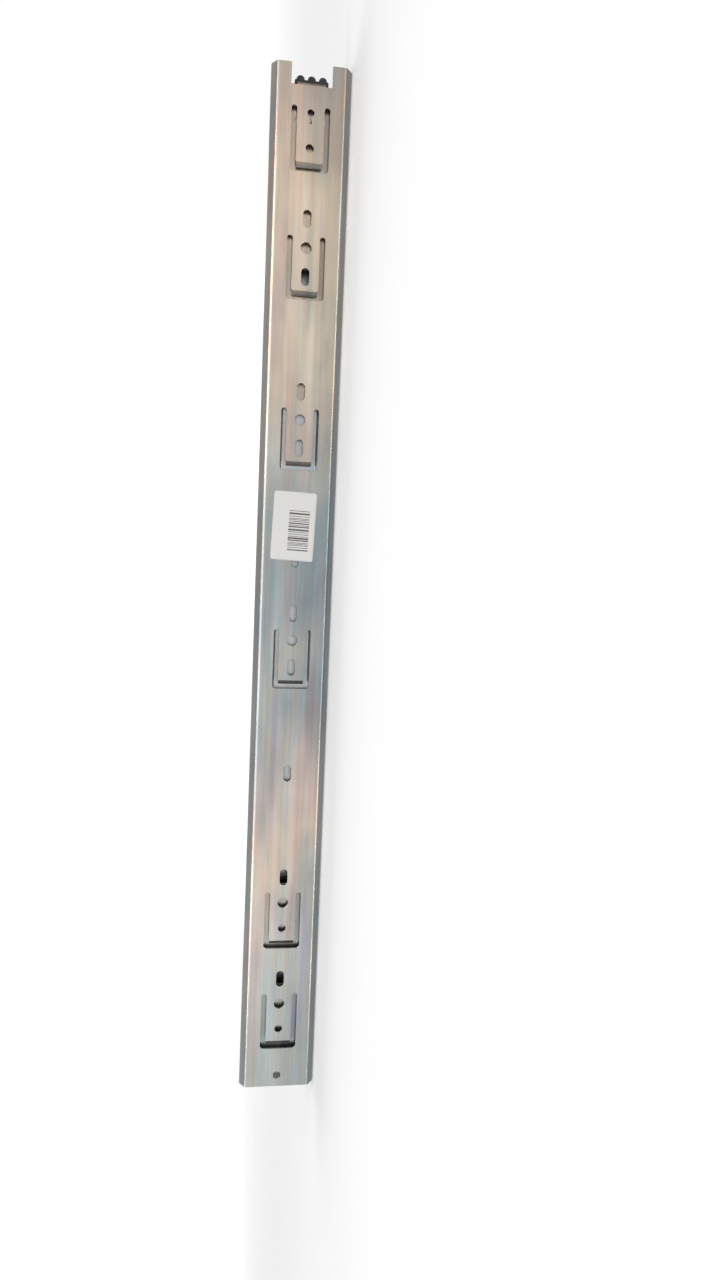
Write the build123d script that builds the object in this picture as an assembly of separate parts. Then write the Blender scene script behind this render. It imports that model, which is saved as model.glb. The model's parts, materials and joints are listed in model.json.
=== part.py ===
from build123d import *
import math
import os

# A full-extension ball-bearing drawer slide, closed. Three roll-formed steel members
# run in each other on balls. All sizes are in millimetres.
#
# Frame: the origin is on the cabinet mounting face, at mid-height of the front edge.
# +X points out of that face, +Y to the rear of the cabinet and +Z up.
# Profiles are drawn in "depth" (from the cabinet face towards the drawer, so depth is -X)
# and "height" (Z). "Along" is the distance from the front edge (Y).

# Driving dimensions
LENGTH = 600.0
TRAVEL = 300.0  # of each of the two stages
DEPTH = 12.7
OUTER_SHEET = 1.2
MIDDLE_SHEET = 1.0
INNER_SHEET = 1.2
RETAINER_SHEET = 0.5
BALL_RADIUS = 1.75
RACE_GAP = 0.05
RACE_RADIUS = BALL_RADIUS + RACE_GAP

# Centres of the two upper ball tracks, in depth and height; the lower ones mirror them
OUTER_TRACK = (5.9, 19.75)
INNER_TRACK = (8.75, 16.1)

# Where each member starts and ends along the slide when it is closed
MIDDLE_SPAN = (2.0, 584.0)
DRAWER_SPAN = (0.0, 586.0)
OUTER_RETAINER_SPAN = (170.0, 415.0)
INNER_RETAINER_SPAN = (185.0, 435.0)

# Ball rows: each row has a front and a rear cluster
BALLS_PER_CLUSTER = 6
BALL_PITCH = 16.0
BALL_END_MARGIN = 10.0
BALL_HOLE_RADIUS = 1.8

# Depths of the flat middles of the nested profiles, at mid-sheet
OUTER_WEB = OUTER_SHEET / 2
MIDDLE_WEB = 4.75
MIDDLE_EDGE = 3.55
DRAWER_WEB = DEPTH - INNER_SHEET / 2
OUTER_CAGE_WEB = 3.55
OUTER_CAGE_EDGE = 2.15
INNER_CAGE_WEB = 5.85

# Screw pattern of the cabinet member
SCREW_HOLE = 4.7
SLOT_LENGTH = 9.8
EURO_HOLE = 6.4
EURO_OFFSET = 16.0
OUTER_SLOT_OFFSET = 32.0
ROUND_TABS = (37.0, 101.0)
SLOTTED_TABS = (261.0, 389.0, 485.0)
REAR_TAB = 555.0
PLAIN_SLOTS = (197.0, 325.0)
FRONT_HOLE = 7.0

# Spring tabs: a tongue in a U-shaped cut, measured from the tab's screw hole
TAB_CUT_WIDTH = 21.8
TAB_LEG_WIDTH = 3.2
TAB_CUT_FRONT = 12.7
TAB_END_GAP = 5.0
TAB_CUT_REAR = 22.5
TAB_CORNER = 1.2
TAB_CUT_CORNER = 2.0
TAB_LIP_ROOT = 0.5  # how far inside the tongue its bent-in lip starts
TAB_LIP_RUN = 2.3
TAB_LIP_TIP_DEPTHS = (1.95, 2.85)
TAB_LIP_WIDTH = 14.6
REAR_TAB_PIN_HOLE = 4.0
REAR_TAB_PIN_OFFSET = 19.0
REAR_TAB_SLIT = (1.4, 6.0)

# Bends of the three members, at mid-sheet, and how far their lips wrap round the balls
OUTER_BEND = 1.6
OUTER_BEND_HEIGHT = 18.2
OUTER_TIP_HEADING = -82.0
MIDDLE_CORNER = 0.8
MIDDLE_JOG_HEIGHT = 11.4
MIDDLE_JOG_BEND = 1.0
MIDDLE_JOG_RISE = 2.2
MIDDLE_TIP_HEADING = -80.0
DRAWER_CORNER = 1.3
DRAWER_TIP_HEADING = 135.0
SEAM_RUN = 0.05  # shortest straight run between two opposite bends

# Ball cages, at mid-sheet
CAGE_BEND = 1.0
OUTER_CAGE_JOG = 9.4
OUTER_CAGE_RISE = 2.4
OUTER_CAGE_TOP = 19.25
OUTER_CAGE_TIP = 8.05
INNER_CAGE_TOP = 15.6
INNER_CAGE_TIP = 11.0

# Dents in the races that stop the ball cages
CRIMP_RADIUS = 1.1
CRIMP_DEPTH = 0.5
CRIMP_EXTRA = 0.2
CRIMP_REACH = 1.8

# Rear stop of the cabinet member and its rubber bumper
NOTCH_WIDTH = 23.0
STOP_WIDTH = 16.0
STOP_FACE = 589.8
STOP_BEND = 1.4
STOP_TIP = 10.0
BUMPER_WIDTH = 19.0
BUMPER_DEPTHS = (2.7, 11.0)
BUMPER_FRONT = 586.5
BUMPER_WALL = 1.9
BUMPER_ROUNDING = 0.6
BUMPER_LOBES = (-6.3, 0.0, 6.3)
BUMPER_LOBE_RADIUS = 2.3

# Middle member: access holes, lugs and the plastic pieces it carries
ACCESS_HOLES = (69.0, 133.0, 485.0)
ACCESS_DIAMETER = 11.0
LUG_BEND = 1.3
CATCH_FACE = 21.0
CATCH_WIDTH = 4.0
CATCH_TIP = 9.2
CATCH_WINDOW = (6.5, 5.0)
BUFFER_SPAN = (24.0, 33.5)
BUFFER_HEIGHTS = (-11.5, -4.5)
BUFFER_TIP = 8.4
PEG_RADIUS = 1.5
DETENT_SPAN = (556.0, 582.5)
DETENT_WIDTH = 19.0
DETENT_TIP = 8.0
DETENT_SLOT = 7.0
DETENT_BACK = 4.5
DETENT_GRIP = 5.4
DETENT_GRIP_ALONG = 569.0
DETENT_GRIP_LENGTH = 4.0
GRIP_ROUNDING = 0.45  # share of the grip's thickness
DETENT_RIVET = (571.0, 6.8)

# Drawer member: screw holes, detent nub and release lever
DRAWER_HOLES = (37.0, 101.0, 197.0, 389.0, 453.0, 549.0)
DRAWER_SLOTS = (85.0, 165.0, 357.0, 517.0)
NUB_FACE = 574.1
NUB_WIDTH = 4.8
NUB_TIP = 6.5
NUB_WINDOW = (7.4, 5.8)
LEVER_PIVOT = (275.0, 5.6)
LEVER_DEPTHS = (7.2, 10.6)
LEVER_THUMB_END = 232.0
LEVER_HOOK_FRONT = 322.2
LEVER_HOOK_REAR = 328.0
LEVER_HOOK_LOW = -1.0
LEVER_BEAM = (3.0, 8.2)
LEVER_PAD_LENGTH = 15.0
LEVER_PAD_HEIGHT = 6.4
LEVER_PAD_MIDDLE = 6.2
LEVER_BOSS_RADIUS = 3.2
LEVER_LEG_ROOT = (274.0, 3.6)
LEVER_LEG_TURN = (250.0, 12.0, -20.0)
LEVER_LEG_TIP = (236.0, -7.0)
LEVER_LEG_SHEET = 1.0
LEVER_LEG_DEPTH = 1.0
LEVER_GRIPS = 4
LEVER_GRIP_START = 5.0  # first groove, ahead of the thumb end
LEVER_GRIP_PITCH = 1.9
LEVER_GRIP_WIDTH = 4.2
LEVER_GROOVE = 0.6
PIVOT_RADIUS = 2.0
PIVOT_GAP = 0.06
RIVET_HEAD_RADIUS = 3.2
RIVET_HEAD = 0.7
RIVET_RECESS = 0.1
SMALL_RIVET_RADIUS = 1.2
SMALL_RIVET_HEAD_RADIUS = 2.1
SMALL_RIVET_HEAD = 0.7
SMALL_FILLET = 0.8
TINY = 1e-4


def heading_between(first, second):
    """Heading, in degrees, of the straight run that touches two turns."""
    reach = math.dist(first[:2], second[:2])
    direction = math.degrees(math.atan2(second[1] - first[1], second[0] - first[0]))
    lean = max(-1.0, min(1.0, (second[2] - first[2]) / reach))
    return direction - math.degrees(math.asin(lean))


def on_turn(turn, heading, offset):
    """Point of a turn at a heading, offset to the left of the sheet's middle line."""
    left = math.radians(heading + 90)
    reach = turn[2] - offset
    return (turn[0] - reach * math.cos(left), turn[1] - reach * math.sin(left))


def sheet_outline(turns, sheet, tip_heading=None):
    """Outline of a bent sheet. A turn is (x, y, radius): its centre and the radius of the
    sheet's middle line, positive where it bends to the left, and 0 at a straight end.
    Straight runs join the turns. A tip heading is for a profile that mirrors itself."""
    headings = [heading_between(a, b) for a, b in zip(turns, turns[1:])]
    if tip_heading is None:
        headings = [headings[0]] + headings + [headings[-1]]
    else:
        headings = [180 - tip_heading] + headings + [tip_heading]
    edges = []
    ends = []
    for offset in (sheet / 2, -sheet / 2):
        last = None
        for turn, before, after in zip(turns, headings, headings[1:]):
            sweep = (after - before + 180) % 360 - 180
            start = on_turn(turn, before, offset)
            middle = on_turn(turn, before + sweep / 2, offset)
            end = on_turn(turn, before + sweep, offset)
            if last is None:
                ends.append(start)
            elif math.dist(last, start) > TINY:
                edges.append(Line(last, start))
            if abs(sweep) > TINY:
                edges.append(ThreePointArc(start, middle, end))
            last = end
        ends.append(last)
    edges.append(Line(ends[0], ends[2]))
    edges.append(Line(ends[1], ends[3]))
    return make_face(edges)


def roll_formed(turns, sheet, span, tip_heading=None):
    """A member whose upper half is given, from mid-height to the tip of its lip."""
    lower = [(depth, -height, radius) for depth, height, radius in reversed(turns)]
    outline = sheet_outline(lower + list(turns), sheet, tip_heading)
    section = Plane(origin=(0, span[0], 0), x_dir=(-1, 0, 0), z_dir=(0, 1, 0))
    return extrude(section * outline, amount=span[1] - span[0])


def jog(from_depth, to_depth, height, radius, rise):
    """The two turns that step a web from one depth to a smaller one."""
    return [(from_depth - radius, height, radius), (to_depth + radius, height + rise, -radius)]


def height_below(track, depth, reach):
    """Height of a point at a depth that is a given reach from a track's centre, below it."""
    return track[1] - math.sqrt(reach**2 - (track[0] - depth) ** 2)


def block(depths, alongs, heights):
    """A box between pairs of depths, distances along and heights."""
    size = (depths[1] - depths[0], alongs[1] - alongs[0], heights[1] - heights[0])
    middle = (-sum(depths) / 2, sum(alongs) / 2, sum(heights) / 2)
    return Pos(*middle) * Box(*size)


def through(sketch, depths):
    """A solid from a sketch drawn in along and height, between two depths."""
    face = Plane(origin=(-depths[1], 0, 0), x_dir=(0, 1, 0), z_dir=(1, 0, 0))
    return extrude(face * sketch, amount=depths[1] - depths[0])


def disc(along, height, radius, depths):
    return through(Pos(along, height) * Circle(radius), depths)


def around(depth, sheet):
    """The depths that cut right through a web whose middle is at a depth."""
    return (depth - sheet, depth + sheet)


def with_lug(member, web, sheet, bend, base, face, tip, width, window):
    """Bends a lug out of a web at mid-height. It leaves the web at base, stands at face and
    reaches the depth tip. The window is the length and width of the opening it leaves."""
    ahead = math.copysign(1, face - base)
    inward = math.copysign(1, tip - web)
    turn = (web + inward * bend, face - ahead * bend, -ahead * inward * bend)
    outline = sheet_outline([(web, base, 0), turn, (tip, face, 0)], sheet)
    side = Plane(origin=(0, 0, width / 2), x_dir=(-1, 0, 0), z_dir=(0, 0, -1))
    alongs = sorted((turn[1], turn[1] + ahead * window[0]))
    opening = block(around(web, sheet), alongs, (-window[1] / 2, window[1] / 2))
    return member - opening + extrude(side * outline, amount=width)


def with_crimps(member, track, away, along, sheet):
    """Dents that stop the balls in a track and its mirror. Away is +1 where the race wall
    is above the balls and -1 where it is below them."""
    for side in (1, -1):
        wall = away * (RACE_RADIUS + CRIMP_RADIUS - CRIMP_DEPTH)
        outside = wall + away * (sheet + CRIMP_EXTRA)
        bump = Pos(-track[0], along, side * (track[1] + wall)) * Sphere(CRIMP_RADIUS)
        dent = Pos(-track[0], along, side * (track[1] + outside)) * Sphere(CRIMP_RADIUS + CRIMP_EXTRA)
        member = member + bump - dent
    return member


def spring_tab_cut(datum):
    """The U-shaped cut that frees a tongue round the screw hole at a datum."""
    front = datum - TAB_CUT_FRONT
    straight = datum + TAB_CUT_REAR - TAB_LEG_WIDTH / 2
    leg_centre = (TAB_CUT_WIDTH - TAB_LEG_WIDTH) / 2
    cut = Pos((front + straight) / 2, 0) * Rectangle(straight - front, TAB_CUT_WIDTH)
    cut = fillet(cut.vertices().sort_by(Axis.X)[:2], TAB_CUT_CORNER)
    tongue_width = TAB_CUT_WIDTH - 2 * TAB_LEG_WIDTH
    tongue_front = front + TAB_END_GAP
    tongue_rear = datum + TAB_CUT_REAR
    tongue = Pos((tongue_front + tongue_rear) / 2, 0) * Rectangle(tongue_rear - tongue_front, tongue_width)
    tongue = fillet(tongue.vertices().sort_by(Axis.X)[:2], TAB_CORNER)
    cut = cut - tongue
    for side in (1, -1):
        cut = cut + Pos(straight, side * leg_centre) * Circle(TAB_LEG_WIDTH / 2)
    return cut


def spring_tab_lip(datum):
    """The bent-in end of the tongue at a datum."""
    end = datum - TAB_CUT_FRONT + TAB_END_GAP
    tip = end - TAB_LIP_RUN
    top, foot = TAB_LIP_TIP_DEPTHS
    root = end + TAB_LIP_ROOT
    side = Polyline((root, 0), (root, OUTER_SHEET), (tip, foot), (tip, top), (end, 0), close=True)
    lengthwise = Plane(origin=(0, 0, 0), x_dir=(0, 1, 0), z_dir=(0, 0, 1))
    return extrude(lengthwise * make_face(side), amount=TAB_LIP_WIDTH / 2, both=True)


def screw_slot(along):
    return Pos(along, 0) * SlotOverall(SLOT_LENGTH, SCREW_HOLE)


def screw_hole(along):
    return Pos(along, 0) * Circle(SCREW_HOLE / 2)


def cabinet_member():
    bend = (OUTER_WEB + OUTER_BEND, OUTER_BEND_HEIGHT, -OUTER_BEND)
    race = (*OUTER_TRACK, -(RACE_RADIUS + OUTER_SHEET / 2))
    member = roll_formed([bend, race], OUTER_SHEET, (0, LENGTH), OUTER_TIP_HEADING)
    cuts = [screw_hole(FRONT_HOLE)]
    for datum in ROUND_TABS + SLOTTED_TABS:
        cuts.append(screw_hole(datum) if datum in ROUND_TABS else screw_slot(datum))
        cuts.append(Pos(datum + EURO_OFFSET, 0) * Circle(EURO_HOLE / 2))
        cuts.append(screw_slot(datum + OUTER_SLOT_OFFSET))
        cuts.append(spring_tab_cut(datum))
    cuts += [screw_slot(along) for along in PLAIN_SLOTS]
    cuts += [screw_hole(REAR_TAB), spring_tab_cut(REAR_TAB)]
    pin_hole = Pos(REAR_TAB + REAR_TAB_PIN_OFFSET, 0) * Circle(REAR_TAB_PIN_HOLE / 2)
    slit_centre = REAR_TAB + REAR_TAB_PIN_OFFSET - REAR_TAB_SLIT[1] / 2
    cuts += [pin_hole, Pos(slit_centre, 0) * Rectangle(REAR_TAB_SLIT[1], REAR_TAB_SLIT[0])]
    for cut in cuts:
        member = member - through(cut, around(OUTER_WEB, OUTER_SHEET))
    for datum in ROUND_TABS + SLOTTED_TABS + (REAR_TAB,):
        member = member + spring_tab_lip(datum)
    first_ball = OUTER_RETAINER_SPAN[0] + BALL_END_MARGIN - TRAVEL / 2
    member = with_crimps(member, OUTER_TRACK, 1, first_ball - CRIMP_REACH, OUTER_SHEET)
    window = (LENGTH - STOP_FACE + 2 * STOP_BEND, NOTCH_WIDTH)
    base = STOP_FACE - 2 * STOP_BEND
    return with_lug(
        member, OUTER_WEB, OUTER_SHEET, STOP_BEND, base, STOP_FACE, STOP_TIP, STOP_WIDTH, window
    )


def rear_bumper():
    """A rubber boot on the rear stop, with three ribs on its back."""
    half = BUMPER_WIDTH / 2
    rear = STOP_FACE + OUTER_SHEET / 2 + BUMPER_WALL
    boot = block(BUMPER_DEPTHS, (BUMPER_FRONT, rear), (-half, half))
    boot = fillet(boot.edges().filter_by(Axis.X), BUMPER_ROUNDING)
    for height in BUMPER_LOBES:
        boot = boot + disc(rear, height, BUMPER_LOBE_RADIUS, BUMPER_DEPTHS)
    tab_alongs = (STOP_FACE - OUTER_SHEET / 2, STOP_FACE + OUTER_SHEET / 2)
    return boot - block((0, STOP_TIP), tab_alongs, (-STOP_WIDTH / 2, STOP_WIDTH / 2))


def middle_member():
    corner_depth = MIDDLE_EDGE + MIDDLE_CORNER
    race = RACE_RADIUS + MIDDLE_SHEET / 2
    corner_height = height_below(OUTER_TRACK, corner_depth, MIDDLE_CORNER + race + SEAM_RUN)
    turns = jog(MIDDLE_WEB, MIDDLE_EDGE, MIDDLE_JOG_HEIGHT, MIDDLE_JOG_BEND, MIDDLE_JOG_RISE)
    turns.append((corner_depth, corner_height, -MIDDLE_CORNER))
    turns += [(*OUTER_TRACK, race), (*INNER_TRACK, -race)]
    member = roll_formed(turns, MIDDLE_SHEET, MIDDLE_SPAN, MIDDLE_TIP_HEADING)
    for along in ACCESS_HOLES:
        member = member - disc(along, 0, ACCESS_DIAMETER / 2, around(MIDDLE_WEB, MIDDLE_SHEET))
    for side in (1, -1):
        rivet_hole = (DETENT_RIVET[0], side * DETENT_RIVET[1], SMALL_RIVET_RADIUS)
        member = member - disc(*rivet_hole, around(MIDDLE_WEB, MIDDLE_SHEET))
    buffer_along = sum(BUFFER_SPAN) / 2
    buffer_height = sum(BUFFER_HEIGHTS) / 2
    member = member - disc(buffer_along, buffer_height, PEG_RADIUS, around(MIDDLE_WEB, MIDDLE_SHEET))
    last_outer = OUTER_RETAINER_SPAN[1] - BALL_END_MARGIN + TRAVEL / 2
    member = with_crimps(member, OUTER_TRACK, -1, last_outer + CRIMP_REACH, MIDDLE_SHEET)
    first_inner = INNER_RETAINER_SPAN[0] + BALL_END_MARGIN - TRAVEL / 2
    member = with_crimps(member, INNER_TRACK, 1, first_inner - CRIMP_REACH, MIDDLE_SHEET)
    base = CATCH_FACE + 2 * LUG_BEND
    return with_lug(
        member, MIDDLE_WEB, MIDDLE_SHEET, LUG_BEND, base, CATCH_FACE, CATCH_TIP, CATCH_WIDTH, CATCH_WINDOW
    )


def drawer_member():
    corner_depth = DRAWER_WEB - DRAWER_CORNER
    race = RACE_RADIUS + INNER_SHEET / 2
    corner_height = height_below(INNER_TRACK, corner_depth, DRAWER_CORNER + race + SEAM_RUN)
    turns = [(corner_depth, corner_height, DRAWER_CORNER), (*INNER_TRACK, -race)]
    member = roll_formed(turns, INNER_SHEET, DRAWER_SPAN, DRAWER_TIP_HEADING)
    cuts = [screw_hole(along) for along in DRAWER_HOLES]
    cuts += [screw_slot(along) for along in DRAWER_SLOTS]
    cuts.append(Pos(*LEVER_PIVOT) * Circle(PIVOT_RADIUS))
    for cut in cuts:
        member = member - through(cut, around(DRAWER_WEB, INNER_SHEET))
    base = NUB_FACE + 2 * LUG_BEND
    return with_lug(
        member, DRAWER_WEB, INNER_SHEET, LUG_BEND, base, NUB_FACE, NUB_TIP, NUB_WIDTH, NUB_WINDOW
    )


def ball_places(span, cluster):
    """Distances along of one cluster's balls, for the cage that fills a span."""
    steps = [BALL_END_MARGIN + BALL_PITCH * i for i in range(BALLS_PER_CLUSTER)]
    if cluster == "front":
        return [span[0] + step for step in steps]
    return [span[1] - step for step in steps]


def cage(turns, span, track):
    """A ball cage: a channel of thin steel strip with a round window for each ball."""
    strip = roll_formed(turns, RETAINER_SHEET, span)
    for cluster in ("front", "rear"):
        for along in ball_places(span, cluster):
            windows = Cylinder(BALL_HOLE_RADIUS, 2 * (track[1] + BALL_RADIUS))
            strip = strip - Pos(-track[0], along, 0) * windows
    return strip


def outer_cage():
    turns = jog(OUTER_CAGE_WEB, OUTER_CAGE_EDGE, OUTER_CAGE_JOG, CAGE_BEND, OUTER_CAGE_RISE)
    turns.append((OUTER_CAGE_EDGE + CAGE_BEND, OUTER_CAGE_TOP - CAGE_BEND, -CAGE_BEND))
    turns.append((OUTER_CAGE_TIP, OUTER_CAGE_TOP, 0))
    return cage(turns, OUTER_RETAINER_SPAN, OUTER_TRACK)


def inner_cage():
    corner = (INNER_CAGE_WEB + CAGE_BEND, INNER_CAGE_TOP - CAGE_BEND, -CAGE_BEND)
    return cage([corner, (INNER_CAGE_TIP, INNER_CAGE_TOP, 0)], INNER_RETAINER_SPAN, INNER_TRACK)


def balls(span, track, side, cluster):
    """One cluster of balls, as separate solids."""
    places = ball_places(span, cluster)
    return Compound([Pos(-track[0], along, side * track[1]) * Sphere(BALL_RADIUS) for along in places])


def front_buffer():
    """A plastic buffer with a peg that snaps into the middle member."""
    pad = block((MIDDLE_WEB + MIDDLE_SHEET / 2, BUFFER_TIP), BUFFER_SPAN, BUFFER_HEIGHTS)
    pad = fillet(pad.edges().filter_by(Axis.X), SMALL_FILLET)
    peg_depths = (MIDDLE_WEB - MIDDLE_SHEET / 2, MIDDLE_WEB + MIDDLE_SHEET)
    return pad + disc(sum(BUFFER_SPAN) / 2, sum(BUFFER_HEIGHTS) / 2, PEG_RADIUS, peg_depths)


def rear_detent():
    """A plastic fork whose two arms hold the drawer member's nub when the slide is shut."""
    front, rear = DETENT_SPAN
    plan = Pos((front + rear) / 2, 0) * RectangleRounded(rear - front, DETENT_WIDTH, SMALL_FILLET)
    slot_end = rear - DETENT_BACK
    plan = plan - Pos((front + slot_end) / 2, 0) * Rectangle(slot_end - front, DETENT_SLOT)
    arm = (DETENT_SLOT - DETENT_GRIP) / 2
    for side in (1, -1):
        grip = Pos(DETENT_GRIP_ALONG, side * (DETENT_SLOT - arm) / 2)
        plan = plan + grip * RectangleRounded(DETENT_GRIP_LENGTH, arm, arm * GRIP_ROUNDING)
        plan = plan - Pos(DETENT_RIVET[0], side * DETENT_RIVET[1]) * Circle(SMALL_RIVET_RADIUS)
    return through(plan, (MIDDLE_WEB + MIDDLE_SHEET / 2, DETENT_TIP))


def rivet(along, height, radius, head_radius, head, depths):
    """A rivet between two depths, with a head beyond the smaller one."""
    body = disc(along, height, radius, depths)
    body = body + disc(along, height, head_radius, (depths[0] - head, depths[0]))
    return fillet(body.edges().group_by(Axis.X)[-1], head / 2)


def detent_rivet(side):
    depths = (MIDDLE_WEB - MIDDLE_SHEET / 2, DETENT_TIP)
    place = (DETENT_RIVET[0], side * DETENT_RIVET[1])
    near = rivet(*place, SMALL_RIVET_RADIUS, SMALL_RIVET_HEAD_RADIUS, SMALL_RIVET_HEAD, depths)
    far_depths = (DETENT_TIP, DETENT_TIP + SMALL_RIVET_HEAD)
    return near + disc(*place, SMALL_RIVET_HEAD_RADIUS, far_depths)


def lever_pivot():
    depths = (LEVER_DEPTHS[0] - PIVOT_GAP, DEPTH - RIVET_RECESS)
    return rivet(*LEVER_PIVOT, PIVOT_RADIUS, RIVET_HEAD_RADIUS, RIVET_HEAD, depths)


def release_lever():
    """A moulded lever: thumb pad at the front, hook at the rear, a thin spring leg below."""
    low, high = LEVER_BEAM
    front = LEVER_THUMB_END
    beam = Pos((front + LEVER_HOOK_REAR) / 2, (low + high) / 2)
    plan = beam * RectangleRounded(LEVER_HOOK_REAR - front, high - low, SMALL_FILLET)
    hook_middle = (LEVER_HOOK_FRONT + LEVER_HOOK_REAR) / 2
    hook = RectangleRounded(LEVER_HOOK_REAR - LEVER_HOOK_FRONT, high - LEVER_HOOK_LOW, SMALL_FILLET)
    plan = plan + Pos(hook_middle, (high + LEVER_HOOK_LOW) / 2) * hook
    pad = RectangleRounded(LEVER_PAD_LENGTH, LEVER_PAD_HEIGHT, SMALL_FILLET)
    plan = plan + Pos(front, LEVER_PAD_MIDDLE) * pad
    lever = through(plan, LEVER_DEPTHS)
    boss_depths = (LEVER_DEPTHS[0], DEPTH - INNER_SHEET - PIVOT_GAP)
    lever = lever + disc(*LEVER_PIVOT, LEVER_BOSS_RADIUS, boss_depths)
    leg_depths = (LEVER_DEPTHS[1] - LEVER_LEG_DEPTH, LEVER_DEPTHS[1])
    leg_path = [(*LEVER_LEG_ROOT, 0), LEVER_LEG_TURN, (*LEVER_LEG_TIP, 0)]
    leg = sheet_outline(leg_path, LEVER_LEG_SHEET)
    lever = lever + through(leg, leg_depths)
    for i in range(LEVER_GRIPS):
        groove = front - LEVER_GRIP_START + i * LEVER_GRIP_PITCH
        heights = (LEVER_PAD_MIDDLE - LEVER_GRIP_WIDTH / 2, LEVER_PAD_MIDDLE + LEVER_GRIP_WIDTH / 2)
        depths = (LEVER_DEPTHS[0], LEVER_DEPTHS[0] + LEVER_GROOVE)
        lever = lever - block(depths, (groove, groove + LEVER_GROOVE), heights)
    return lever - disc(*LEVER_PIVOT, PIVOT_RADIUS + PIVOT_GAP, (0, DEPTH))


def write(node, shape):
    """Writes one node and prints its solids and volume."""
    shape.label = node
    export_step(shape, f"parts/{node}.step")
    solids = shape.solids()
    print(f"{node}: {len(solids)} solids, {sum(s.volume for s in solids):.1f} mm3")


def main():
    os.makedirs("parts", exist_ok=True)
    write("cabinet_member", cabinet_member())
    write("rear_bumper", rear_bumper())
    write("outer_ball_cage", outer_cage())
    write("intermediate_member", middle_member())
    write("front_buffer", front_buffer())
    write("rear_detent", rear_detent())
    write("detent_rivet_upper", detent_rivet(1))
    write("detent_rivet_lower", detent_rivet(-1))
    write("inner_ball_cage", inner_cage())
    write("drawer_member", drawer_member())
    write("release_lever", release_lever())
    write("lever_pivot_rivet", lever_pivot())
    rows = {"upper": 1, "lower": -1}
    cages = {"outer": (OUTER_RETAINER_SPAN, OUTER_TRACK), "inner": (INNER_RETAINER_SPAN, INNER_TRACK)}
    for stage, (span, track) in cages.items():
        for row, side in rows.items():
            for cluster in ("front", "rear"):
                write(f"{stage}_balls_{row}_{cluster}", balls(span, track, side, cluster))


main()
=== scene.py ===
import json
import math
import random

import bmesh
import bpy
from mathutils import Matrix, Vector, noise

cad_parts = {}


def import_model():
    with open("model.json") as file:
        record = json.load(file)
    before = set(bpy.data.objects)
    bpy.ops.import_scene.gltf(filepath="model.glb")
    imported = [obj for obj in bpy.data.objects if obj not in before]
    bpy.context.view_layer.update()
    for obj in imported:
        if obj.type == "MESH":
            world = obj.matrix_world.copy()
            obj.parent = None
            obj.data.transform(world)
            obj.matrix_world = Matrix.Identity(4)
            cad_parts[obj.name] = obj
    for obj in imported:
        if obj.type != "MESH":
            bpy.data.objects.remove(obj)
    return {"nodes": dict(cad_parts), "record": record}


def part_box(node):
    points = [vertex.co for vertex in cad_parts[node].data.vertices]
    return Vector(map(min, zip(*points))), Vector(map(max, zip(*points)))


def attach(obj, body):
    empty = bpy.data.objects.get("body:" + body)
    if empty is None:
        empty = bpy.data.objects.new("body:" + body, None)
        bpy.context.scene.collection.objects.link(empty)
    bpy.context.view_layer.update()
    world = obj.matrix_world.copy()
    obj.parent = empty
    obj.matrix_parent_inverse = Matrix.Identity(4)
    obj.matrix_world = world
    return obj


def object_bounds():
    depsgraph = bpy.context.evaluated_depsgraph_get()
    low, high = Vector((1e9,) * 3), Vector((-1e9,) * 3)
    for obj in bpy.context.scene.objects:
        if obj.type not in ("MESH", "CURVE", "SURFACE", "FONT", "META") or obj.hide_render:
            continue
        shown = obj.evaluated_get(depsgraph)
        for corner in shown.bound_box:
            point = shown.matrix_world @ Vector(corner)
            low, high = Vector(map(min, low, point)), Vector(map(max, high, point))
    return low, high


# The looks of a zinc-plated ball-bearing drawer slide. Everything is in metres, in the row frame:
# +X out of the cabinet mounting face, +Y to the rear, +Z up.

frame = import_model()
cad_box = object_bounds()
nodes = frame["nodes"]

MM = 0.001
LOW, HIGH = cad_box
LENGTH = HIGH.y - LOW.y
WEB_FACE = HIGH.x
OUTER_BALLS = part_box("outer_balls_upper_front")
INNER_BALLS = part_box("inner_balls_upper_front")

# Camera: a phone's wide lens held half a metre off, a little above mid-height
LENS = 26.0
CLIP_START = 10.0 * MM
CAMERA_PLACE = (0.5425, 0.331, 0.045)
CAMERA_TARGET = (0.0, 0.2785, -0.0405)
CAMERA_ROLL = math.radians(2.46)

# Light of the surroundings, from level (0) to straight up or down (1)
WORLD_LIGHT = [
    (0.0, (0.84, 0.84, 0.85)),
    (0.35, (0.74, 0.74, 0.75)),
    (0.8, (0.50, 0.50, 0.51)),
    (1.0, (0.46, 0.46, 0.47)),
]
# Its dimming towards the slide's two ends, from square to the slide (0) to along it (1)
END_DIMMING = [
    (0.0, (1, 1, 1)),
    (0.50, (0.96, 0.96, 0.96)),
    (0.78, (0.42, 0.42, 0.42)),
    (1.0, (0.36, 0.36, 0.36)),
]
# Lamps, level with the slide's middle: name, X and Z, size along and across the slide, power in watts
LAMPS = [
    ("front_softbox", (1.5, 0.75), (1.7, 0.8), 10),
    ("upper_strip", (0.45, 0.65), (1.6, 0.10), 3),
    ("lower_strip", (0.75, -0.45), (1.6, 0.10), 3),
    ("back_softbox", (-1.3, 0.6), (1.6, 1.0), 10),
]
# The floor lies just under the slide. It is solid near its middle and fades out further off
FLOOR_SIZE = 6.0
FLOOR_DROP = 0.05 * MM
FLOOR_SOLID = 0.35
FLOOR_GONE = 1.3
FLOOR_COLOUR = (0.93, 0.93, 0.925)
WHITE = (1.0, 1.0, 1.0)

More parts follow.
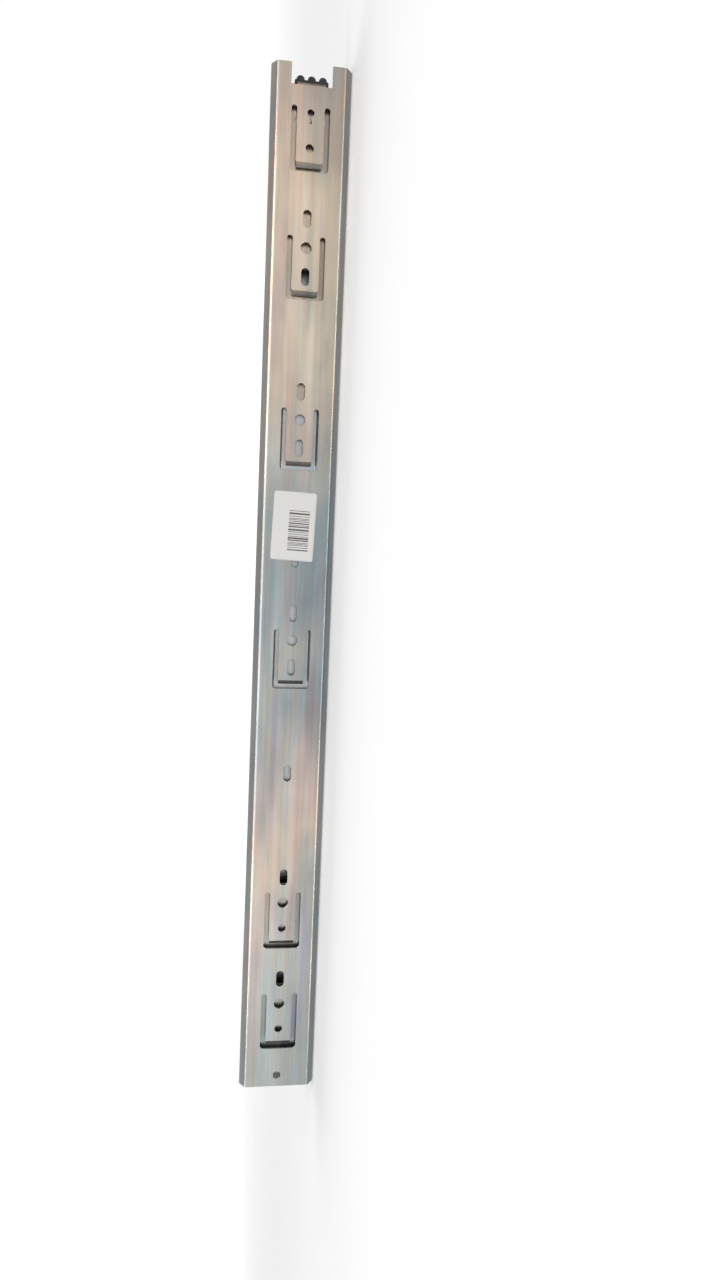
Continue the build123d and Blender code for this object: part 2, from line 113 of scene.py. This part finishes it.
# Sticker on the cabinet member
STICKER_SIZE = (25.0 * MM, 40.0 * MM)
STICKER_BEHIND = ("cabinet_slots_3", 35.0 * MM)  # the screw slots that it follows, and how far behind
STICKER_HEIGHT = 1.5 * MM
STICKER_TILT = math.radians(-2.0)
STICKER_THICK = 0.12 * MM
STICKER_CORNER = 1.6 * MM
STICKER_GRID = (40, 26)
STICKER_RIPPLE = 0.08 * MM
STICKER_RIPPLE_SCALE = 160  # per metre
STICKER_LIFT = 0.5 * MM
STICKER_LIFT_REACH = 7.0 * MM
PAPER_COLOUR = (192, 191, 188)
INK_COLOUR = (78, 76, 75)
INK_THICK = 0.02 * MM
BARCODE_WIDTH = 12.0 * MM
BARCODE_LENGTH = 23.0 * MM
BARCODE_MIDDLE = (-2.6 * MM, -3.0 * MM)
BAR_SEED = 7
BAR_STEPS = 12
BAR_WIDTHS = (0.35 * MM, 0.35 * MM, 0.7 * MM, 1.0 * MM)
BAR_SPACES = (0.4 * MM, 0.6 * MM, 0.9 * MM)
BAR_BLEED = 0.03 * MM

# Colours along the slide from the front edge (0) to the rear (1). They are partly the plating's own tint
# and partly painted reflections of warm and cool surroundings: warm bands and a darker blue-grey middle
CABINET_TINTS_AND_REFLECTIONS = [
    (0.00, (224, 231, 228)), (0.10, (230, 233, 229)), (0.17, (232, 229, 222)), (0.25, (240, 225, 208)),
    (0.30, (222, 212, 204)), (0.36, (198, 194, 192)), (0.40, (182, 188, 190)), (0.46, (196, 198, 196)),
    (0.51, (172, 181, 186)), (0.60, (182, 189, 190)), (0.65, (207, 198, 188)), (0.74, (240, 222, 202)),
    (0.88, (240, 223, 204)), (0.95, (228, 208, 192)), (1.00, (216, 200, 188)),
]
PLAIN_ZONES = [
    (0.0, (196, 197, 196)), (0.3, (204, 202, 198)), (0.6, (200, 200, 199)), (1.0, (197, 197, 196)),
]
PLAIN_STEEL = (206, 207, 207)
ZONE_DRIFT = 0.16  # how far the zones wander, as a share of the length
# Depths behind a web's face where the zones, with their painted reflections, start and stop giving way to
# plain steel, and how far they do
PLAIN_DEPTHS = (0.2 * MM, 1.2 * MM)
PLAIN_SHARE = 0.75
# Interference tints of the passivated zinc, along a slow noise
TINTS = [
    (0.28, (246, 222, 224)), (0.40, (255, 240, 228)), (0.47, (250, 249, 247)), (0.53, (234, 243, 238)),
    (0.60, (255, 244, 228)), (0.70, (240, 235, 246)),
]
# Painted shade: the lower half of each member is painted a little cooler and darker, as light falling
# across the web would leave it
PAINTED_LOWER_SHADE = (224, 230, 234)
PAINTED_SHADE_FROM = 4.0 * MM
PAINTED_SHADE_TO = -15.0 * MM
PAINTED_SHADE_SWAY = 30.0 * MM
CLOUDS = [(0.3, (212, 215, 220)), (0.7, (255, 255, 255))]
CLOUD_STRENGTH = 0.8
ROLLING_LINES = [(0.30, (236, 236, 238)), (0.70, (255, 255, 255))]
LINE_STRENGTH = 0.7
EDGE_ROUND = 0.25 * MM
EDGE_SAMPLES = 4
WAVE_STRENGTH = 0.6
WAVE_HEIGHT = 0.5 * MM
MOTTLE_ROUGHNESS = 0.03
SCUFF_ROUGHNESS = 0.08
GREASE = (0.92, 0.89, 0.81)
GREASE_LEAST = 0.35
GREASE_GLOSS = 0.16
RACE_MARGIN = 1.5 * MM

# Noises of the plating: scale along X, Y and Z, per metre, then detail, roughness and offset
ZONE_NOISE = ((30, 5, 30), 2.0)
TINT_NOISE = ((26, 7, 95), 2.5, 0.55)
PAINTED_SHADE_NOISE = ((10, 9, 10), 2.0)
CLOUD_NOISE = ((34, 14, 60), 2.0, 0.5, (3.0, 1.0, 2.0))
LINE_NOISE = ((260, 3, 520), 1.5)
MOTTLE_NOISE = ((120, 50, 120), 1.0)
SCUFF_NOISE = ((50, 7, 130), 1.5, 0.5, (7.0, 2.0, 5.0))
GREASE_NOISE = ((300, 40, 300), 2.0)
WAVE_NOISE = ((18, 8, 46), 1.0)
# The values of a noise that are used, from its low parts to its high ones
NOISE_RANGE = (0.3, 0.7)
SCUFF_RANGE = (0.52, 0.70)
GREASE_RANGE = (0.35, 0.6)

# Oil smears on polished steel: how much they darken it and how much rougher it is there
SMEAR_NOISE = ((420, 420, 420), 4.0, 0.6)
SMEAR_SHADE = 0.9
SMEAR_ROUGHNESS = 0.12
# Moulded plastic and rubber: clouds in tone and gloss, and a pebbled skin
MOULD_NOISE = ((180, 180, 180), 3.0)
MOULD_SHADE = 0.82
MOULD_RANGE = (0.2, 0.8)
MOULD_ROUGHNESS = (-0.05, 0.08)
PEBBLE_NOISE = ((5200, 5200, 5200), 2.0)
PEBBLE_HEIGHT = 0.05 * MM
# Fibres of paper
FIBRE_NOISE = ((900, 900, 2600), 4.0, 0.6)
FIBRE_RANGE = (0.25, 0.75)
FIBRE_SHADE = 0.965
FIBRE_STRENGTH = 0.15
FIBRE_HEIGHT = 0.03 * MM
PAPER_ROUGHNESS = 0.55

# The intermediate member's web lies this far behind its edges
MIDDLE_STEP = 1.2 * MM
MIDDLE_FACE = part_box("intermediate_member")[1].x - MIDDLE_STEP


def race_band(lower, upper):
    """Where grease lies round the balls: its lowest and highest height, and the depth where it starts."""
    return (lower[0].z - RACE_MARGIN, upper[1].z + RACE_MARGIN, upper[1].x)


CABINET_RACES = race_band(OUTER_BALLS, OUTER_BALLS)
MIDDLE_RACES = race_band(INNER_BALLS, OUTER_BALLS)
DRAWER_RACES = race_band(INNER_BALLS, INNER_BALLS)


# ---------- shader helpers ----------

# Colour sockets of a Mix node, which has others of the same names
MIX_FIRST = 6
MIX_SECOND = 7
MIX_RESULT = 2


class Shader:
    """The node tree of a material or a world, built one node at a time."""

    def __init__(self, owner, output):
        owner.use_nodes = True
        self.owner = owner
        self.tree = owner.node_tree
        self.tree.nodes.clear()
        self.output = self.tree.nodes.new(output)

    def node(self, kind, inputs=None, **settings):
        made = self.tree.nodes.new(kind)
        for key, value in settings.items():
            setattr(made, key, value)
        for key, value in (inputs or {}).items():
            self.feed(made.inputs[key], value)
        return made

    def feed(self, socket, value):
        if isinstance(value, bpy.types.NodeSocket):
            self.tree.links.new(value, socket)
        else:
            socket.default_value = value

    def place(self):
        """Object-space position."""
        return self.node("ShaderNodeTexCoord").outputs["Object"]

    def axis(self, name):
        """Object-space X, Y or Z."""
        return self.node("ShaderNodeSeparateXYZ", {"Vector": self.place()}).outputs[name]

    def noise(self, scale, detail, rough=0.5, offset=(0.0, 0.0, 0.0)):
        """Noise from 0 to 1 that is stretched by its scale on each axis."""
        stretch = {"Vector": self.place(), "Scale": scale, "Location": offset}
        spot = self.node("ShaderNodeMapping", stretch).outputs[0]
        settings = {"Vector": spot, "Scale": 1.0, "Detail": detail, "Roughness": rough}
        return self.node("ShaderNodeTexNoise", settings).outputs["Fac"]

    def sway(self, noise_settings, reach):
        """A noise about zero, from minus to plus half its reach."""
        return self.math("MULTIPLY", self.math("SUBTRACT", self.noise(*noise_settings), 0.5), reach)

    def ramp(self, factor, stops):
        """Colours along a factor. A stop is (position, (r, g, b))."""
        made = self.node("ShaderNodeValToRGB", {"Fac": factor})
        elements = made.color_ramp.elements
        while len(elements) < len(stops):
            elements.new(0.5)
        for element, (position, colour) in zip(elements, stops):
            element.position = position
            element.color = opaque(colour)
        return made.outputs["Color"]

    def span(self, value, low, high, to_low=0.0, to_high=1.0):
        """Maps the values from low to high onto another range, and holds its ends beyond them."""
        inputs = {"Value": value, "From Min": low, "From Max": high, "To Min": to_low, "To Max": to_high}
        return self.node("ShaderNodeMapRange", inputs).outputs["Result"]

    def math(self, operation, first, second=0.0):
        return self.node("ShaderNodeMath", {0: first, 1: second}, operation=operation).outputs[0]

    def mix(self, factor, first, second, blend="MIX"):
        inputs = {"Factor": factor, MIX_FIRST: first, MIX_SECOND: second}
        return self.node("ShaderNodeMix", inputs, data_type="RGBA", blend_type=blend).outputs[MIX_RESULT]

    def multiply(self, factor, first, second):
        return self.mix(factor, first, second, "MULTIPLY")

    def bump(self, height, strength, distance, **normal):
        inputs = {"Height": height, "Strength": strength, "Distance": distance, **normal}
        return self.node("ShaderNodeBump", inputs).outputs[0]

    def show(self, shader):
        """Makes a shader the result, and returns the material or world."""
        self.tree.links.new(shader.outputs[0], self.output.inputs["Surface"])
        return self.owner

    def principled(self, inputs):
        return self.show(self.node("ShaderNodeBsdfPrincipled", inputs))


def material(name):
    return Shader(bpy.data.materials.new(name), "ShaderNodeOutputMaterial")


def opaque(colour):
    return (*colour, 1.0)


def rgb(r, g, b):
    """A colour given as sRGB from 0 to 255."""
    return tuple(((c / 255 + 0.055) / 1.055) ** 2.4 if c > 10 else c / 255 / 12.92 for c in (r, g, b))


def srgb_stops(stops):
    return [(position, rgb(*colour)) for position, colour in stops]


def two_tones(s, factor, colour, darker):
    """A colour that a factor darkens down to a share of itself."""
    shaded = tuple(c * darker for c in colour)
    return s.mix(factor, opaque(rgb(*colour)), opaque(rgb(*shaded)))


# ---------- materials ----------

def plating_colour_and_painted_light(s, zones, tint_strength, shade, face):
    """Zones along the slide, partly painted reflections, with tints, a painted cooler shade on the lower
    half, clouds and rolling lines over them, all multiplied by shade.
    """
    along = s.span(s.axis("Y"), 0.0, LENGTH)
    # the cabinet and intermediate zones paint reflections of warm and cool surroundings into the colour,
    # over the plating's own tint
    colour = s.ramp(s.math("ADD", along, s.sway(ZONE_NOISE, ZONE_DRIFT)), srgb_stops(zones))
    start, stop = PLAIN_DEPTHS
    behind = s.span(s.axis("X"), face - start, face - stop, 0.0, PLAIN_SHARE)
    colour = s.mix(behind, colour, opaque(rgb(*PLAIN_STEEL)))
    tint = s.ramp(s.noise(*TINT_NOISE), srgb_stops(TINTS))
    colour = s.multiply(tint_strength, colour, tint)
    # painted shade: the lower half is multiplied by a cooler, darker grey
    lower = s.span(s.math("ADD", s.axis("Z"), s.sway(PAINTED_SHADE_NOISE, PAINTED_SHADE_SWAY)), PAINTED_SHADE_FROM, PAINTED_SHADE_TO)
    colour = s.mix(lower, colour, s.multiply(1.0, colour, opaque(rgb(*PAINTED_LOWER_SHADE))))
    colour = s.multiply(CLOUD_STRENGTH, colour, s.ramp(s.noise(*CLOUD_NOISE), srgb_stops(CLOUDS)))
    colour = s.multiply(LINE_STRENGTH, colour, s.ramp(s.noise(*LINE_NOISE), srgb_stops(ROLLING_LINES)))
    # shade darkens the whole colour; on the intermediate member it is painted shade
    return s.multiply(1.0, colour, opaque((shade, shade, shade)))


def plating_roughness(s, roughness):
    """Slightly uneven, with scuffs along the slide."""
    smooth, worn = roughness - MOTTLE_ROUGHNESS, roughness + MOTTLE_ROUGHNESS
    mottle = s.span(s.noise(*MOTTLE_NOISE), *NOISE_RANGE, smooth, worn)
    scuffs = s.span(s.noise(*SCUFF_NOISE), *SCUFF_RANGE, 0.0, SCUFF_ROUGHNESS)
    return s.math("ADD", mottle, scuffs)


def grease_film(s, races):
    """How thick the grease lies, from 0 to 1."""
    low, high, depth = races
    height = s.math("ABSOLUTE", s.axis("Z"))
    band = s.math("MULTIPLY", s.span(height, low, low + MM), s.span(height, high, high - MM))
    inside = s.span(s.axis("X"), depth, depth - MM)
    patches = s.span(s.noise(*GREASE_NOISE), *GREASE_RANGE, GREASE_LEAST, 1.0)
    return s.math("MULTIPLY", patches, s.math("MULTIPLY", band, inside))


def zinc(name, zones, tint_strength, roughness, shade=1.0, races=None, face=0.0):
    """Zinc-plated rolled steel with rounded edges, and grease in its ball races.

    The zones, partly painted reflections, are strongest on the side of the web that looks at the cabinet,
    whose X is face.
    """
    s = material(name)
    colour = plating_colour_and_painted_light(s, zones, tint_strength, shade, face)
    rough = plating_roughness(s, roughness)
    if races:
        film = grease_film(s, races)
        colour = s.multiply(film, colour, opaque(GREASE))
        rough = s.math("SUBTRACT", rough, s.math("MULTIPLY", film, GREASE_GLOSS))
    rounded = s.node("ShaderNodeBevel", {"Radius": EDGE_ROUND}, samples=EDGE_SAMPLES).outputs[0]
    waves = s.bump(s.noise(*WAVE_NOISE), WAVE_STRENGTH, WAVE_HEIGHT, Normal=rounded)
    return s.principled({"Base Color": colour, "Metallic": 1.0, "Roughness": rough, "Normal": waves})


def polished(name, colour, roughness):
    """Hard polished steel with a trace of oil smears."""
    s = material(name)
    smear = s.noise(*SMEAR_NOISE)
    tone = two_tones(s, s.span(smear, *NOISE_RANGE), colour, SMEAR_SHADE)
    rough = s.span(smear, *NOISE_RANGE, roughness, roughness + SMEAR_ROUGHNESS)
    return s.principled({"Base Color": tone, "Metallic": 1.0, "Roughness": rough})


def moulded(name, colour, roughness, pebble):
    """Moulded plastic or rubber: a fine pebbled skin, slightly uneven in tone."""
    s = material(name)
    cloud = s.noise(*MOULD_NOISE)
    tone = two_tones(s, s.span(cloud, *NOISE_RANGE), colour, MOULD_SHADE)
    rough = s.span(cloud, *MOULD_RANGE, *(roughness + change for change in MOULD_ROUGHNESS))
    skin = s.bump(s.noise(*PEBBLE_NOISE), pebble, PEBBLE_HEIGHT)
    return s.principled({"Base Color": tone, "Roughness": rough, "Normal": skin})


def paper(name, colour):
    """Paper, or ink on it, with fine fibres."""
    s = material(name)
    fibre = s.noise(*FIBRE_NOISE)
    tone = two_tones(s, s.span(fibre, *FIBRE_RANGE), colour, FIBRE_SHADE)
    relief = s.bump(fibre, FIBRE_STRENGTH, FIBRE_HEIGHT)
    return s.principled({"Base Color": tone, "Roughness": PAPER_ROUGHNESS, "Normal": relief})


def dress(node, finish):
    """Gives a CAD node its material."""
    slots = nodes[node].data.materials
    slots.clear()
    slots.append(finish)


def dress_all():
    cabinet = zinc("zinc_cabinet", CABINET_TINTS_AND_REFLECTIONS, tint_strength=0.8, roughness=0.30, races=CABINET_RACES)
    # painted shade: shade=0.86 darkens the intermediate member as if it lay in shade inside the cabinet
    # member
    middle = zinc("zinc_intermediate", CABINET_TINTS_AND_REFLECTIONS, tint_strength=0.7, roughness=0.30, shade=0.86,
                  races=MIDDLE_RACES, face=MIDDLE_FACE)
    drawer = zinc("zinc_drawer", PLAIN_ZONES, tint_strength=0.7, roughness=0.30, races=DRAWER_RACES)
    strip = zinc("zinc_strip", PLAIN_ZONES, tint_strength=0.3, roughness=0.38, shade=0.9)
    dress("cabinet_member", cabinet)
    dress("intermediate_member", middle)
    dress("drawer_member", drawer)
    dress("outer_ball_cage", strip)
    dress("inner_ball_cage", strip)
    dress("rear_bumper", moulded("black_rubber", (30, 30, 31), roughness=0.62, pebble=0.3))
    dress("release_lever", moulded("black_plastic", (24, 24, 26), roughness=0.42, pebble=0.2))
    white = moulded("white_plastic", (214, 213, 206), roughness=0.45, pebble=0.15)
    dress("front_buffer", white)
    dress("rear_detent", white)
    rivet = polished("rivet_steel", (190, 190, 188), roughness=0.28)
    ball = polished("ball_steel", (205, 205, 208), roughness=0.08)
    for node in nodes:
        if "rivet" in node:
            dress(node, rivet)
        if "_balls_" in node:
            dress(node, ball)


# ---------- sticker ----------

def add_piece(name, mesh, finish, place, thickness):
    mesh.materials.append(finish)
    piece = bpy.data.objects.new(name, mesh)
    bpy.context.scene.collection.objects.link(piece)
    piece.matrix_world = place
    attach(piece, "cabinet")
    solid = piece.modifiers.new("thickness", "SOLIDIFY")
    solid.thickness = thickness
    solid.offset = -1.0


def paper_lift(along, height):
    """How far the sticker stands off the web: slight waves, and a lifted corner."""
    width, length = STICKER_SIZE
    ripple = noise.noise(Vector((along, height, 0)) * STICKER_RIPPLE_SCALE) * STICKER_RIPPLE
    corner = Vector((-length / 2, -width / 2))
    near = max(0.0, 1 - (Vector((along, height)) - corner).length / STICKER_LIFT_REACH)
    return abs(ripple) + STICKER_LIFT * near ** 2


def sticker_mesh():
    """A rounded rectangle of paper, as a fine grid whose corners are drawn in."""
    width, length = STICKER_SIZE
    columns, rows = STICKER_GRID
    shape = bmesh.new()
    bmesh.ops.create_grid(shape, x_segments=columns, y_segments=rows, size=0.5)
    for vertex in shape.verts:
        spot = Vector((vertex.co.x * length, vertex.co.y * width))
        centre = Vector((math.copysign(length / 2 - STICKER_CORNER, spot.x),
                         math.copysign(width / 2 - STICKER_CORNER, spot.y)))
        out = spot - centre
        if abs(spot.x) > abs(centre.x) and abs(spot.y) > abs(centre.y) and out.length > STICKER_CORNER:
            spot = centre + out.normalized() * STICKER_CORNER
        vertex.co = (STICKER_THICK + paper_lift(*spot), *spot)
    for face in shape.faces:
        face.smooth = True
    mesh = bpy.data.meshes.new("label_sticker")
    shape.to_mesh(mesh)
    shape.free()
    return mesh


def bars_mesh():
    """Plain printed bars, each a thin strip that follows the paper."""
    rng = random.Random(BAR_SEED)
    middle_along, middle_height = BARCODE_MIDDLE
    shape = bmesh.new()
    start = -BARCODE_LENGTH / 2
    while start < BARCODE_LENGTH / 2:
        bar = rng.choice(BAR_WIDTHS)
        rows = []
        for k in range(BAR_STEPS + 1):
            height = middle_height + BARCODE_WIDTH * (k / BAR_STEPS - 0.5)
            spread = rng.uniform(-BAR_BLEED, BAR_BLEED)
            ends = (middle_along + start - spread, middle_along + start + bar + spread)
            rows.append([shape.verts.new((STICKER_THICK + paper_lift(a, height) + INK_THICK, a, height))
                         for a in ends])
        for first, second in zip(rows, rows[1:]):
            shape.faces.new((first[0], first[1], second[1], second[0]))
        start += bar + rng.choice(BAR_SPACES)
    mesh = bpy.data.meshes.new("label_bars")
    shape.to_mesh(mesh)
    shape.free()
    return mesh


def mount_along(name):
    """How far a mount of the record is from the front edge."""
    return next(mount["pos_m"][1] for mount in frame["record"]["mounts"] if mount["name"] == name)


def sticker():
    slots, behind = STICKER_BEHIND
    middle = (WEB_FACE, mount_along(slots) + behind, STICKER_HEIGHT)
    place = Matrix.Translation(middle) @ Matrix.Rotation(STICKER_TILT, 4, "X")
    sheet = paper("label_paper", PAPER_COLOUR)
    add_piece("label_sticker", sticker_mesh(), sheet, place, STICKER_THICK)
    ink = paper("label_ink", INK_COLOUR)
    add_piece("label_bars", bars_mesh(), ink, place, INK_THICK)


# ---------- stage ----------

def camera():
    data = bpy.data.cameras.new("camera")
    data.lens = LENS
    data.clip_start = CLIP_START
    eye = bpy.data.objects.new("camera", data)
    bpy.context.scene.collection.objects.link(eye)
    forward = (Vector(CAMERA_TARGET) - Vector(CAMERA_PLACE)).normalized()
    right = forward.cross(Vector((0, 1, 0))).normalized()
    up = right.cross(forward)
    turned = Matrix.Rotation(CAMERA_ROLL, 3, -forward)
    rotation = Matrix((turned @ right, turned @ up, -forward)).transposed()
    eye.matrix_world = Matrix.Translation(CAMERA_PLACE) @ rotation.to_4x4()
    bpy.context.scene.camera = eye


def lamp(name, place, size, power):
    """An area light that looks at the slide's middle."""
    data = bpy.data.lights.new(name, "AREA")
    data.shape = "RECTANGLE"
    data.size, data.size_y = size
    data.energy = power
    light = bpy.data.objects.new(name, data)
    across, height = place
    light.location = (across, LENGTH / 2, height)
    light.rotation_mode = "QUATERNION"
    aim = Vector((-across, 0, -height))
    light.rotation_quaternion = aim.to_track_quat("-Z", "Y")
    bpy.context.scene.collection.objects.link(light)


def world():
    """Soft grey surroundings that light the metal, in front of a white background."""
    made = bpy.data.worlds.new("studio")
    bpy.context.scene.world = made
    s = Shader(made, "ShaderNodeOutputWorld")
    source = s.node("ShaderNodeTexCoord").outputs["Generated"]
    direction = s.node("ShaderNodeSeparateXYZ", {"Vector": source}).outputs
    upright = s.ramp(s.math("ABSOLUTE", direction["Z"]), WORLD_LIGHT)
    endwise = s.ramp(s.math("ABSOLUTE", direction["Y"]), END_DIMMING)
    light = s.node("ShaderNodeBackground", {"Color": s.multiply(1.0, upright, endwise)})
    white = s.node("ShaderNodeBackground", {"Color": opaque(WHITE)})
    seen = s.node("ShaderNodeLightPath").outputs["Is Camera Ray"]
    s.show(s.node("ShaderNodeMixShader", {0: seen, 1: light.outputs[0], 2: white.outputs[0]}))


def floor():
    """A pale floor under the slide's lower edge, which fades out into the background."""
    mesh = bpy.data.meshes.new("floor")
    shape = bmesh.new()
    bmesh.ops.create_grid(shape, x_segments=1, y_segments=1, size=FLOOR_SIZE / 2)
    shape.to_mesh(mesh)
    shape.free()
    plane = bpy.data.objects.new("floor", mesh)
    plane.location = (0, LENGTH / 2, LOW.z - FLOOR_DROP)
    bpy.context.scene.collection.objects.link(plane)
    s = material("floor")
    diffuse = s.node("ShaderNodeBsdfDiffuse", {"Color": opaque(FLOOR_COLOUR)})
    clear = s.node("ShaderNodeBsdfTransparent")
    reach = s.node("ShaderNodeVectorMath", {0: s.place()}, operation="LENGTH").outputs["Value"]
    fade = s.span(reach, FLOOR_SOLID, FLOOR_GONE)
    mixer = s.node("ShaderNodeMixShader", {0: fade, 1: diffuse.outputs[0], 2: clear.outputs[0]})
    mesh.materials.append(s.show(mixer))
    plane.visible_glossy = False
    plane.visible_shadow = False


def studio():
    bpy.context.scene.view_settings.view_transform = "Standard"
    for settings in LAMPS:
        lamp(*settings)
    world()
    floor()
    camera()


dress_all()
sticker()
studio()
